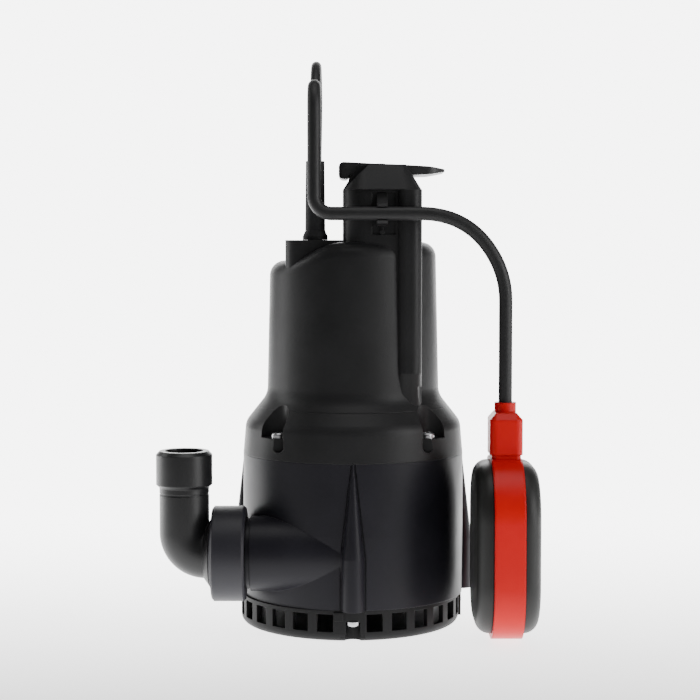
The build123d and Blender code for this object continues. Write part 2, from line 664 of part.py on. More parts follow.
# ---- bearing brackets -----------------------------------------------------------------------
with BuildPart() as lower_bearing_bracket:
    with BuildSketch(Plane.XZ):
        with BuildLine():
            # oil chamber below, lip seal and bearing pockets above, cup for the motor can outside
            Polyline((22, 67), (24.5, 67), (24.5, 71.1), (50.5, 71.1), (50.5, 98), (46.3, 98),
                     (46.3, 75.9), (24.5, 75.9), (24.5, 84), (20, 88), (20, 104.5), (14, 104.5),
                     (14, 102.05), (16.03, 102.05), (16.03, 91.95), (12.03, 91.95), (12.03, 86),
                     (9.5, 86), (9.5, 83), (22, 79), close=True)
        make_face()
    revolve(axis=Axis.Z)
    for angle in range(0, 360, 60):
        with Locations(Location((*polar(33.8, angle + 30), 75.8), (0, 0, angle + 30))):
            Box(3, 20.6, 8, align=FOOT)
    with BuildSketch(Plane.XY.offset(66)):
        with PolarLocations(BRACKET_SCREW_R, 6, start_angle=30):
            Circle(2.2)
    extrude(amount=12, mode=Mode.SUBTRACT)
lower_bearing_bracket.part.label = "lower_bearing_bracket"
export_step(lower_bearing_bracket.part, "parts/lower_bearing_bracket.step")

BRACKET_SCREW = pan_screw(3.4, 2.4, 1.9, 8.4)
with BuildPart() as bracket_screws:
    for at in PolarLocations(BRACKET_SCREW_R, 6, start_angle=30).locations:
        with Locations((at.position.X, at.position.Y, 75.95)):
            add(BRACKET_SCREW)
bracket_screws.part.label = "bracket_screws"
export_step(bracket_screws.part, "parts/bracket_screws.step")

with BuildPart() as upper_bearing_bracket:
    with BuildSketch(Plane.XZ):
        with BuildLine():
            Polyline((8, 198.6), (8, 196.8), (15.03, 196.8), (15.03, 186), (18.5, 186),
                     (18.5, 192), (40, 192), (40, 188), (CAN_R[0] - CLEARANCE, 188),
                     (CAN_R[0] - CLEARANCE, 195), (20, 195), (18.5, 198.6), close=True)
        make_face()
    revolve(axis=Axis.Z)
    with BuildSketch(Plane.XY.offset(190)):
        with PolarLocations(29, 4, start_angle=45):
            SlotOverall(14, 6, rotation=90)
    extrude(amount=8, mode=Mode.SUBTRACT)
upper_bearing_bracket.part.label = "upper_bearing_bracket"
export_step(upper_bearing_bracket.part, "parts/upper_bearing_bracket.step")

with BuildPart() as wave_washer:
    with BuildSketch(Plane.XY.offset(196.05)):
        Circle(14.8)
        Circle(10.5, mode=Mode.SUBTRACT)
    extrude(amount=0.6)
wave_washer.part.label = "wave_washer"
export_step(wave_washer.part, "parts/wave_washer.step")

with BuildPart() as cover_o_ring:
    with BuildSketch(Plane.XZ):
        with Locations((63.6, SPLIT_Z - 0.52)):
            Circle(0.57)
    revolve(axis=Axis.Z)
cover_o_ring.part.label = "cover_o_ring"
export_step(cover_o_ring.part, "parts/cover_o_ring.step")

# ---- electrical parts -----------------------------------------------------------------------
with BuildPart() as capacitor:
    with Locations((18, -15, 201)):
        Cylinder(15, 46, align=FOOT)
    fillet(capacitor.edges(), 1.5)
    for x in (13, 23):
        with Locations((x, -15, 246.9)):
            Box(0.8, 6.3, 6, align=FOOT)
capacitor.part.label = "capacitor"
export_step(capacitor.part, "parts/capacitor.step")

with BuildPart() as thermal_protector:
    with Locations((0, 33, 183.6)):
        Box(16, 8, 4.4, align=FOOT)
    fillet(thermal_protector.edges().filter_by(Axis.Z), 1.5)
thermal_protector.part.label = "thermal_protector"
export_step(thermal_protector.part, "parts/thermal_protector.step")

with BuildPart() as terminal_block:
    with Locations((-20, 14, 198.65)):
        Box(30, 15, 10, align=FOOT)
    for x in (-30, -20, -10):
        with Locations((x, 14, 205.5)):
            Cylinder(2.6, 4, align=FOOT, mode=Mode.SUBTRACT)
        with Locations((x, 14, 202)):
            Box(6, 20, 3, align=FOOT, mode=Mode.SUBTRACT)
terminal_block.part.label = "terminal_block"
export_step(terminal_block.part, "parts/terminal_block.step")

# ---- cable boot, clamp and clip -------------------------------------------------------------
BOOT_MID_Y = (FLOAT_LEAD_Y + POWER_LEAD_Y) / 2

with BuildPart() as cable_gland_boot:
    for low, high, size_x, size_y in ((210, TOWER_TOP + 1, 9.0, 18.0),
                                      (TOWER_TOP + 0.02, TOWER_TOP + 2.4, 14.6, 24.0)):
        with BuildSketch(Plane.XY.offset(low)):
            with Locations((BOOT_X, BOOT_MID_Y)):
                RectangleRounded(size_x, size_y, 0.47 * size_x)
        extrude(amount=high - low)
    for height, size_x, size_y in ((TOWER_TOP + 2.3, 14.4, 23.8), (TOWER_TOP + 5.5, 11.6, 21.4)):
        with BuildSketch(Plane.XY.offset(height)):
            with Locations((BOOT_X, BOOT_MID_Y)):
                RectangleRounded(size_x, size_y, 0.44 * size_x)
    loft()
    for height, size_x, size_y in ((TOWER_TOP + 5.5, 11.6, 21.4), (BOOT_TOP, 10.8, 19.8)):
        with BuildSketch(Plane.XY.offset(height)):
            with Locations((BOOT_X, BOOT_MID_Y)):
                RectangleRounded(size_x, size_y, 0.44 * size_x)
    loft()
cable_gland_boot.part.label = "cable_gland_boot"
export_step(cable_gland_boot.part, "parts/cable_gland_boot.step")

with BuildPart() as gland_clamp:
    with BuildSketch(Plane.XY.offset(214)):
        with Locations((BOOT_X, BOOT_MID_Y)):
            RectangleRounded(26, 25, 3)
            RectangleRounded(9.1, 18.1, 4.2, mode=Mode.SUBTRACT)
    extrude(amount=6)
gland_clamp.part.label = "gland_clamp"
export_step(gland_clamp.part, "parts/gland_clamp.step")

CLIP_X = (13.8, 19.8)
with BuildPart() as cable_clip:
    # a C that holds the cable from above and below, on a stem from the pillar's front
    with BuildSketch(Plane.YZ.offset(CLIP_X[0])):
        with BuildLine():
            Polyline((PILLAR_Y[0] + 1.1, 236.8), (CABLE_Y - 1.2, 238.4), (CABLE_Y - 2.4, 240.3),
                     (CABLE_Y - 1.4, 240.3), (CABLE_Y, 240.1), (-46.2, 241.2), (-45.4, 244.1),
                     (-46.2, 247.0), (CABLE_Y, 248.1), (CABLE_Y - 1.4, 247.9),
                     (CABLE_Y - 2.4, 247.9), (CABLE_Y - 1.2, 249.8), (-45.5, 250.2),
                     (PILLAR_Y[0] + 1.1, 256.5), close=True)
        make_face()
    extrude(amount=CLIP_X[1] - CLIP_X[0])
    # locking stud below the clip
    with BuildSketch(Plane.XZ.offset(-PILLAR_Y[0] - 1.1)):
        with Locations((sum(CLIP_X) / 2, 233.6)):
            Circle(1.4)
    extrude(amount=2.4)
    with BuildSketch(Plane.XZ.offset(-PILLAR_Y[0] - 1.1)):
        with Locations((sum(CLIP_X) / 2, 235)):
            Rectangle(1.6, 4)
    extrude(amount=1.0)
    with Locations(Location((0, CABLE_Y, CABLE_Z), (0, 90, 0))):
        Cylinder(FLOAT_CABLE_D / 2 + 0.03, 60, mode=Mode.SUBTRACT)
cable_clip.part.label = "cable_clip"
export_step(cable_clip.part, "parts/cable_clip.step")

# ---- outlet: check valve, gasket, union nut, elbow ------------------------------------------
outlet_axis = Axis((0, OUTLET_Y, OUTLET_Z), (1, 0, 0))


def outlet_plane(distance):
    """Plane across the outlet, this far to the left of the pump's axis, facing outwards."""
    return Plane(origin=(-distance, OUTLET_Y, OUTLET_Z), x_dir=(0, 1, 0), z_dir=(-1, 0, 0))


FLAP_PIN_Z = 14.4           # above the outlet's axis
FLAP_PIN_X = -SEAT_X - 4.15
with BuildPart() as check_seat:
    with BuildSketch(outlet_plane(SEAT_X + 0.05)):
        Circle(16.95)
        Circle(11.5, mode=Mode.SUBTRACT)
    extrude(amount=3)
    # ears that hold the flap's pin
    for side in (-1, 1):
        with Locations((FLAP_PIN_X + 0.6, OUTLET_Y + side * 4.6, OUTLET_Z + FLAP_PIN_Z)):
            Box(5.6, 1.8, 2.8)
    with BuildSketch(Plane.XZ):
        with Locations((FLAP_PIN_X, OUTLET_Z + FLAP_PIN_Z)):
            Circle(0.95)
    extrude(amount=80, both=True, mode=Mode.SUBTRACT)
check_seat.part.label = "check_seat"
export_step(check_seat.part, "parts/check_seat.step")

with BuildPart() as check_flap:
    with BuildSketch(outlet_plane(SEAT_X + 3.35)):
        Circle(12.8)
    extrude(amount=1.6)
    with Locations((FLAP_PIN_X, OUTLET_Y, OUTLET_Z + FLAP_PIN_Z - 1.6)):
        Box(1.6, 6.4, 3.2)
    with Locations(Location((FLAP_PIN_X, OUTLET_Y, OUTLET_Z + FLAP_PIN_Z), (90, 0, 0))):
        Cylinder(1.1, 6.4)
    with BuildSketch(Plane.XZ.offset(-OUTLET_Y - 6)):
        with Locations((FLAP_PIN_X, OUTLET_Z + FLAP_PIN_Z)):
            Circle(0.9)
    extrude(amount=12)
check_flap.part.label = "check_flap"
export_step(check_flap.part, "parts/check_flap.step")

with BuildPart() as union_gasket:
    with BuildSketch(outlet_plane(-SPIGOT_END + CLEARANCE)):
        Circle(18.6)
        Circle(13.5, mode=Mode.SUBTRACT)
    extrude(amount=1.5)
union_gasket.part.label = "union_gasket"
export_step(union_gasket.part, "parts/union_gasket.step")

with BuildPart() as union_nut:
    with BuildSketch(Plane.XY):
        with BuildLine():
            # half section: distance to the left of the pump's axis, radius
            Polyline((-62.0, 19.75), (-62.0, 26.4), (-63.3, NUT_R), (-80.2, NUT_R),
                     (-81.4, 26.2), (-81.8, 20.8), (-82.6, 20.0), (-82.6, 14.75),
                     (-77.4, 14.75), (-77.4, 19.75), close=True)
        make_face()
    revolve(axis=Axis.X)
union_nut_placed = union_nut.part.moved(Location((0, OUTLET_Y, OUTLET_Z)))
union_nut_placed.label = "union_nut"
export_step(union_nut_placed, "parts/union_nut.step")

elbow_corner = (ELBOW_X + ELBOW_BEND, OUTLET_Z + ELBOW_BEND)
with BuildPart() as discharge_elbow:
    # flange and horizontal leg
    for start, end, radius in ((71.65, 77.0, 19.2), (71.65, -elbow_corner[0] + 0.01, ELBOW_R)):
        with BuildSketch(outlet_plane(start)):
            Circle(radius)
        extrude(amount=end - start)
    # cone where the leg leaves the nut
    with BuildSketch(Plane.XY.offset(OUTLET_Z)):
        with BuildLine():
            Polyline((-82.95, OUTLET_Y), (-82.95, OUTLET_Y + 19.2), (-86.4, OUTLET_Y + ELBOW_R),
                     (-86.4, OUTLET_Y), close=True)
        make_face()
    revolve(axis=outlet_axis)
    # bend: the leg's section turned about the inside corner, without what lies past the corner
    with BuildSketch(Plane(origin=(elbow_corner[0], OUTLET_Y, OUTLET_Z), x_dir=(0, 0, 1),
                           z_dir=(-1, 0, 0))):
        Circle(ELBOW_R)
        with Locations((ELBOW_BEND + 20, 0)):
            Rectangle(40, 60, mode=Mode.SUBTRACT)
    revolve(axis=Axis((elbow_corner[0], OUTLET_Y, elbow_corner[1]), (0, 1, 0)),
            revolution_arc=90)
    # vertical leg and collar
    with Locations((ELBOW_X, OUTLET_Y, elbow_corner[1] - 0.01)):
        Cylinder(ELBOW_R, ELBOW_TOP - elbow_corner[1] - 1, align=FOOT)
    with BuildSketch(Plane.XZ.offset(-OUTLET_Y)):
        with BuildLine():
            Polyline((ELBOW_X, 84), (ELBOW_X + ELBOW_R, 84), (ELBOW_X + ELBOW_R, 86.2),
                     (ELBOW_X + COLLAR_R, 88.0), (ELBOW_X + COLLAR_R, 105.3),
                     (ELBOW_X + COLLAR_R - 2.0, ELBOW_TOP), (ELBOW_X, ELBOW_TOP), close=True)
        make_face()
    revolve(axis=Axis((ELBOW_X, OUTLET_Y, 0), (0, 0, 1)))
    # faint moulded ring under the collar
    with BuildSketch(Plane.XZ.offset(-OUTLET_Y)):
        with Locations((ELBOW_X + ELBOW_R, 82.6)):
            Rectangle(0.7, 1.0)
    revolve(axis=Axis((ELBOW_X, OUTLET_Y, 0), (0, 0, 1)), mode=Mode.SUBTRACT)
    # water way
    with BuildSketch(outlet_plane(71)):
        Circle(ELBOW_BORE_R)
    extrude(amount=-elbow_corner[0] - 71, mode=Mode.SUBTRACT)
    with BuildSketch(Plane(origin=(elbow_corner[0], OUTLET_Y, OUTLET_Z), x_dir=(0, 0, 1),
                           z_dir=(-1, 0, 0))):
        Circle(ELBOW_BORE_R)
    revolve(axis=Axis((elbow_corner[0], OUTLET_Y, elbow_corner[1]), (0, 1, 0)),
            revolution_arc=90, mode=Mode.SUBTRACT)
    with Locations((ELBOW_X, OUTLET_Y, elbow_corner[1])):
        Cylinder(ELBOW_BORE_R, 80, align=FOOT, mode=Mode.SUBTRACT)
discharge_elbow.part.label = "discharge_elbow"
export_step(discharge_elbow.part, "parts/discharge_elbow.step")

# ---- float ----------------------------------------------------------------------------------
FLOAT_MID_Z = (FLOAT_LOW + FLOAT_HIGH) / 2
FLOAT_TALL = FLOAT_HIGH - FLOAT_LOW
FLOAT_CORNER = 33.0
side_plane = Plane(origin=(FLOAT_X, FLOAT_Y, FLOAT_MID_Z), x_dir=(0, 1, 0), z_dir=(1, 0, 0))

with BuildPart() as float_band:
    # the band around the edge
    with BuildSketch(side_plane.offset(-BAND_W / 2)):
        RectangleRounded(FLOAT_WIDE, FLOAT_TALL, FLOAT_CORNER)
        RectangleRounded(FLOAT_WIDE - 10, FLOAT_TALL - 10, FLOAT_CORNER - 5, mode=Mode.SUBTRACT)
    extrude(amount=BAND_W)
    # neck and its collar
    with BuildSketch(Plane.XY.offset(FLOAT_HIGH - 2)):
        with Locations((FLOAT_X, FLOAT_Y)):
            RectangleRounded(BAND_W - 0.6, 24, 3)
    extrude(amount=5)
    with BuildSketch(Plane.XY.offset(106.8)):
        with Locations((FLOAT_X, FLOAT_Y)):
            RectangleRounded(18.8, 26, 4)
    extrude(amount=20)
    with BuildSketch(Plane.XY.offset(126.8)):
        with Locations((FLOAT_X, FLOAT_Y)):
            RectangleRounded(18.8, 26, 4)
    extrude(amount=3.8, taper=42)
    with Locations((FLOAT_X, FLOAT_Y, 130)):
        Cylinder(6.2, 6.1, align=FOOT)
    # channel that the cable enters by
    with Locations((FLOAT_X, FLOAT_Y, 92)):
        Cylinder(FLOAT_CABLE_D / 2 + 0.05, 60, align=FOOT, mode=Mode.SUBTRACT)
float_band.part.label = "float_band"
export_step(float_band.part, "parts/float_band.step")


def float_shell(side):
    """A hollow half shell on one side of the band."""
    with BuildPart(mode=Mode.PRIVATE) as shell:
        inner_face = side_plane.offset(side * (BAND_W / 2 + CLEARANCE))
        depth = side * (SHELL_T / 2 - BAND_W / 2)
        with BuildSketch(inner_face):
            with Locations((0, 0.4)):
                RectangleRounded(FLOAT_WIDE - 4, FLOAT_TALL - 5.5, FLOAT_CORNER - 2)
        extrude(amount=depth)
        far = shell.faces().sort_by(Axis.X)[-1 if side > 0 else 0]
        fillet(far.edges(), 8.4)
        with BuildSketch(inner_face):
            with Locations((0, 0.4)):
                RectangleRounded(FLOAT_WIDE - 10, FLOAT_TALL - 11.5, FLOAT_CORNER - 5)
        extrude(amount=depth - side * 2.6, mode=Mode.SUBTRACT)
    return shell.part


for side, name in ((-1, "float_shell_left"), (1, "float_shell_right")):
    shell = float_shell(side)
    shell.label = name
    export_step(shell, f"parts/{name}.step")

BALL_R = 7.2
GUIDE_Z = FLOAT_LOW + 5.1
BALL_LOW = GUIDE_Z + 2.55 + BALL_R
BALL_TRAVEL = 36.0
PLUNGER_TIP = BALL_LOW + BALL_TRAVEL + BALL_R + GAP
SWITCH_Z = PLUNGER_TIP + 3
with BuildPart() as float_ball:
    with Locations((FLOAT_X, FLOAT_Y, BALL_LOW)):
        Sphere(BALL_R)
float_ball.part.label = "float_ball"
export_step(float_ball.part, "parts/float_ball.step")

with BuildPart() as ball_guide:
    with Locations((FLOAT_X, FLOAT_Y, GUIDE_Z)):
        Cylinder(BALL_R + 2.0, SWITCH_Z - 0.05 - GUIDE_Z, align=FOOT)
    with Locations((FLOAT_X, FLOAT_Y, GUIDE_Z + 2.5)):
        Cylinder(BALL_R + 0.4, 90, align=FOOT, mode=Mode.SUBTRACT)
ball_guide.part.label = "ball_guide"
export_step(ball_guide.part, "parts/ball_guide.step")

with BuildPart() as float_microswitch:
    with Locations((FLOAT_X, FLOAT_Y, SWITCH_Z)):
        Box(10.3, 27, 16, align=FOOT)
    fillet(float_microswitch.edges().filter_by(Axis.X), 1.2)
    with Locations((FLOAT_X, FLOAT_Y, PLUNGER_TIP)):
        Cylinder(2.05, 8.5, align=FOOT, mode=Mode.SUBTRACT)
float_microswitch.part.label = "float_microswitch"
export_step(float_microswitch.part, "parts/float_microswitch.step")

with BuildPart() as switch_plunger:
    with Locations((FLOAT_X, FLOAT_Y, PLUNGER_TIP)):
        Cylinder(2.0, 6.0, align=FOOT)
    fillet(switch_plunger.edges().sort_by(Axis.Z)[0], 0.9)
switch_plunger.part.label = "switch_plunger"
export_step(switch_plunger.part, "parts/switch_plunger.step")

# ---- cords ----------------------------------------------------------------------------------
# Float cable: out of the boot, over towards the front, down, and along the pillar's clip.
TURN_R = (FLOAT_LEAD_Y - CABLE_Y) / 2
TURN_Z = 303.4
over_y = (FLOAT_LEAD_Y + CABLE_Y) / 2
out = TURN_R * tan(radians(22.5))
FLOAT_CABLE_ROUTE = [
    (BOOT_X, FLOAT_LEAD_Y, BOOT_TOP),
    (BOOT_X, FLOAT_LEAD_Y, TURN_Z + out),
    (BOOT_X, over_y + out, TURN_Z + TURN_R),
    (BOOT_X, over_y - out, TURN_Z + TURN_R),
    (BOOT_X, CABLE_Y, TURN_Z + out),
    (BOOT_X, CABLE_Y, 249.9),
    (-16.4, CABLE_Y, CABLE_Z),
    (20.1, CABLE_Y, CABLE_Z),
]
float_cable = tube("float_cable", FLOAT_CABLE_ROUTE, FLOAT_CABLE_D)
float_cable.part.label = "float_cable"
export_step(float_cable.part, "parts/float_cable.step")

FLOAT_TETHER_ROUTE = [
    (PIVOT_X, CABLE_Y, CABLE_Z),
    (52.6, CABLE_Y, CABLE_Z),
    (73.6, CABLE_Y, 232.0),
    (FLOAT_X, CABLE_Y, 208.0),
    (FLOAT_X, CABLE_Y, 92.0),
]
tether_tube = tube("float_tether", FLOAT_TETHER_ROUTE, FLOAT_CABLE_D)
with BuildPart() as float_tether:
    add(tether_tube.part)
    with Locations((PIVOT_X, CABLE_Y, CABLE_Z)):
        Sphere(FLOAT_CABLE_D / 2)
float_tether.part.label = "float_tether"
export_step(float_tether.part, "parts/float_tether.step")

# Mains cable: up out of the boot, over backwards, down behind the body to its coil.
COIL_MID = (0.0, 140.0)
COIL_R = (21.8, 59.4)
COIL_Z = (1.0, 26.2)
ARC_R = 35.0
ARC_MID = (POWER_LEAD_Y + ARC_R, 299.0)
arc_corner = ARC_R / cos(radians(15))
POWER_ROUTE = [(BOOT_X, POWER_LEAD_Y, BOOT_TOP)]
for angle in (165, 135, 105, 75, 45, 15):
    POWER_ROUTE.append((BOOT_X, ARC_MID[0] + arc_corner * cos(radians(angle)),
                        ARC_MID[1] + arc_corner * sin(radians(angle))))
POWER_ROUTE += [
    (-23.2, 59.5, 266.0),
    (-24.6, 62.5, 222.0),
    (-27.0, 65.0, 176.0),
    (-31.0, 67.5, 132.0),
    (-36.0, 71.0, 92.0),
    (-43.0, 77.5, 62.0),
    (-50.0, 88.5, 38.0),
    (-55.0, 102.5, 18.0),
    (-57.6, 116.0, 9.2),
    (-58.4, 130.0, 5.6),
    (-58.4, 144.0, 5.4),
]
power_cable = tube("power_cable", POWER_ROUTE, POWER_CABLE_D)
power_cable.part.label = "power_cable"
export_step(power_cable.part, "parts/power_cable.step")

with BuildPart() as power_coil:
    with BuildSketch(Plane.XZ):
        with Locations((sum(COIL_R) / 2, sum(COIL_Z) / 2)):
            RectangleRounded(COIL_R[1] - COIL_R[0], COIL_Z[1] - COIL_Z[0], 5)
    revolve(axis=Axis.Z)
power_coil_placed = power_coil.part.moved(Location((*COIL_MID, 0)))
power_coil_placed.label = "power_coil"
export_step(power_coil_placed, "parts/power_coil.step")

TAIL_ROUTE = [
    (-41.5, 181.5, 15.0),
    (-31.0, 192.0, 16.0),
    (-20.2, 201.0, 17.5),
    (-7.7, 205.2, 18.5),
    (5.8, 205.2, 18.5),
]
power_tail = tube("power_tail", TAIL_ROUTE, POWER_CABLE_D)
power_tail.part.label = "power_tail"
export_step(power_tail.part, "parts/power_tail.step")

TIE_ANGLE = 25
with BuildPart() as coil_tie:
    with BuildSketch(Plane.XZ.offset(-6)):
        with Locations((sum(COIL_R) / 2, sum(COIL_Z) / 2)):
            RectangleRounded(COIL_R[1] - COIL_R[0] + 1.6, COIL_Z[1] - COIL_Z[0] + 1.6, 5.8)
    extrude(amount=12)
    with BuildSketch(Plane.XZ):
        with Locations((sum(COIL_R) / 2, sum(COIL_Z) / 2)):
            RectangleRounded(COIL_R[1] - COIL_R[0] + 0.02, COIL_Z[1] - COIL_Z[0] + 0.02, 5)
    revolve(axis=Axis.Z, mode=Mode.SUBTRACT)
coil_tie_placed = coil_tie.part.moved(Location((*COIL_MID, 0), (0, 0, TIE_ANGLE)))
coil_tie_placed.label = "coil_tie"
export_step(coil_tie_placed, "parts/coil_tie.step")

# ---- mains plug: round moulded body on its side, tapered strain relief, two pins ------------
plug_at = TAIL_ROUTE[-1]


def plug_plane(distance):
    """Plane across the plug, this far along it from the cable's end."""
    return Plane(origin=(plug_at[0] + distance, plug_at[1], plug_at[2]), x_dir=(0, 1, 0),
                 z_dir=(1, 0, 0))


with BuildPart() as mains_plug:
    with BuildSketch(Plane.XY):
        with BuildLine():
            Polyline((0, 0), (0, 4.4), (26, 6.6))
            Spline((26, 6.6), (36, 17.6), tangents=((1, 0.1), (1, 0.3)))
            Polyline((36, 17.6), (50, 18.4), (52, 16.8), (52, 0), (0, 0))
        make_face()
    revolve(axis=Axis.X)
    # side grooves for the earth clips
    for side in (-1, 1):
        with Locations((46, side * 18, 0)):
            Box(14, 3.4, 6, mode=Mode.SUBTRACT)
mains_plug_placed = mains_plug.part.moved(Location(plug_at))
mains_plug_placed.label = "mains_plug"
export_step(mains_plug_placed, "parts/mains_plug.step")

with BuildPart() as plug_pins:
    for side in (-1, 1):
        with BuildSketch(plug_plane(52.02)):
            with Locations((side * 9.5, 0)):
                Circle(2.4)
        extrude(amount=19)
    fillet(plug_pins.edges().group_by(Axis.X)[-1], 1.4)
plug_pins.part.label = "plug_pins"
export_step(plug_pins.part, "parts/plug_pins.step")
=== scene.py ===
"""Submersible drainage pump with a tethered float switch: looks, cords, lights and camera."""

import json
from math import cos, pi, radians, sin

import bpy
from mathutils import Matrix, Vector


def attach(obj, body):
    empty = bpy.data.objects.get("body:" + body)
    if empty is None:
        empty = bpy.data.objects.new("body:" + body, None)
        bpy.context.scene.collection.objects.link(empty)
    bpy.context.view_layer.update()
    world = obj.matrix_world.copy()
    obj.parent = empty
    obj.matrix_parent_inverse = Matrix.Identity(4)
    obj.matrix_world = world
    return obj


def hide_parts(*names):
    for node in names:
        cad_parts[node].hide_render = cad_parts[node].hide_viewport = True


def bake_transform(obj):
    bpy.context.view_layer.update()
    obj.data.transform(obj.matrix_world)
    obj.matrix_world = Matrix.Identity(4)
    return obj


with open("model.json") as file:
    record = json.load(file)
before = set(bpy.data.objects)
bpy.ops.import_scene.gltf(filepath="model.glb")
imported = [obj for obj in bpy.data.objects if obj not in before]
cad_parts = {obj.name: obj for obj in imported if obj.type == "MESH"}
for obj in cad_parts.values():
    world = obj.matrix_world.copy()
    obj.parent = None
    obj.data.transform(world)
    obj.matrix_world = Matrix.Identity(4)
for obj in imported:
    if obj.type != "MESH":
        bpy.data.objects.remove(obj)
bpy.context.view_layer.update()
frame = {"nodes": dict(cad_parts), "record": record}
NODES = frame["nodes"]
SCENE = bpy.context.scene
MM = 0.001


# ---- camera ---------------------------------------------------------------------------------
VIEW_FROM = Vector((0.0, -1.078, 0.229))
VIEW_CENTRE = Vector((-0.0018, 0.0, 0.163))


def add_camera():
    data = bpy.data.cameras.new("camera")
    data.lens = 92.4
    data.sensor_width = 36.0
    camera = bpy.data.objects.new("camera", data)
    camera.location = VIEW_FROM
    aim = VIEW_CENTRE - camera.location
    camera.rotation_euler = aim.to_track_quat("-Z", "Y").to_euler()
    SCENE.collection.objects.link(camera)
    SCENE.camera = camera


add_camera()


# ---- materials ------------------------------------------------------------------------------
def material(name, colour, rough=0.5, metallic=0.0, specular=0.5, grain=0.0, grain_size=0.5,
             mottle=0.12, rough_spread=0.1, edge=0.5, wear_and_sheen=0.0, coat=0.0, streak=None):
    """A moulded, cast or drawn surface.

    grain is the bump's height in mm and grain_size its pitch in mm; edge is the radius in mm
    that sharp edges are rounded to; wear_and_sheen lightens them in the colour, part wear and part
    painted highlight; streak stretches the grain per axis.
    """
    mat = bpy.data.materials.new(name)
    mat.use_nodes = True
    nodes, links = mat.node_tree.nodes, mat.node_tree.links
    shader = nodes["Principled BSDF"]
    shader.inputs["Metallic"].default_value = metallic
    shader.inputs["Specular IOR Level"].default_value = specular
    shader.inputs["Coat Weight"].default_value = coat
    shader.inputs["Coat Roughness"].default_value = 0.15

    place = nodes.new("ShaderNodeTexCoord")
    stretch = nodes.new("ShaderNodeMapping")
    stretch.inputs["Scale"].default_value = streak or (1.0, 1.0, 1.0)
    links.new(place.outputs["Object"], stretch.inputs["Vector"])

    broad = nodes.new("ShaderNodeTexNoise")
    broad.inputs["Scale"].default_value = 38.0
    broad.inputs["Detail"].default_value = 5.0
    links.new(stretch.outputs["Vector"], broad.inputs["Vector"])
    fine = nodes.new("ShaderNodeTexNoise")
    fine.inputs["Scale"].default_value = 1.0 / (grain_size * MM)
    fine.inputs["Detail"].default_value = 3.0
    links.new(stretch.outputs["Vector"], fine.inputs["Vector"])

    # colour: broad mottling between a darker and a lighter shade
    ramp = nodes.new("ShaderNodeValToRGB")
    ramp.color_ramp.elements[0].position = 0.3
    ramp.color_ramp.elements[1].position = 0.7
    ramp.color_ramp.elements[0].color = (*[c * (1 - mottle) for c in colour], 1)
    ramp.color_ramp.elements[1].color = (*[min(1, c * (1 + mottle)) for c in colour], 1)
    links.new(broad.outputs["Fac"], ramp.inputs["Fac"])
    tint = ramp.outputs["Color"]

    # rounded edges, and a lighter colour along them: part wear, part painted highlight
    soft = nodes.new("ShaderNodeBevel")
    soft.samples = 4
    soft.inputs["Radius"].default_value = edge * MM
    normal = soft.outputs["Normal"]
    if wear_and_sheen:
        flat = nodes.new("ShaderNodeNewGeometry")
        turn = nodes.new("ShaderNodeVectorMath")
        turn.operation = "DOT_PRODUCT"
        links.new(soft.outputs["Normal"], turn.inputs[0])
        links.new(flat.outputs["Normal"], turn.inputs[1])
        spread = nodes.new("ShaderNodeMapRange")
        spread.inputs["From Min"].default_value = 0.99
        spread.inputs["From Max"].default_value = 0.80
        spread.inputs["To Min"].default_value = 0.0
        spread.inputs["To Max"].default_value = wear_and_sheen
        links.new(turn.outputs["Value"], spread.inputs["Value"])
        # lighter colour along the edges: wear, and a painted highlight
        worn_and_sheen = nodes.new("ShaderNodeMix")
        worn_and_sheen.data_type = "RGBA"
        worn_and_sheen.inputs["B"].default_value = (*[min(1, 0.6 * c + 0.05) for c in colour], 1)
        links.new(spread.outputs["Result"], worn_and_sheen.inputs["Factor"])
        links.new(tint, worn_and_sheen.inputs["A"])
        tint = worn_and_sheen.outputs["Result"]
    links.new(tint, shader.inputs["Base Color"])

    # roughness follows the mottling
    dull = nodes.new("ShaderNodeMapRange")
    dull.inputs["From Min"].default_value = 0.3
    dull.inputs["From Max"].default_value = 0.7
    dull.inputs["To Min"].default_value = max(0.02, rough - rough_spread / 2)
    dull.inputs["To Max"].default_value = min(1.0, rough + rough_spread / 2)
    links.new(broad.outputs["Fac"], dull.inputs["Value"])
    links.new(dull.outputs["Result"], shader.inputs["Roughness"])

    if grain:
        bump = nodes.new("ShaderNodeBump")
        bump.inputs["Strength"].default_value = 1.0
        bump.inputs["Distance"].default_value = grain * MM
        links.new(fine.outputs["Fac"], bump.inputs["Height"])
        links.new(normal, bump.inputs["Normal"])
        normal = bump.outputs["Normal"]
    links.new(normal, shader.inputs["Normal"])
    return mat


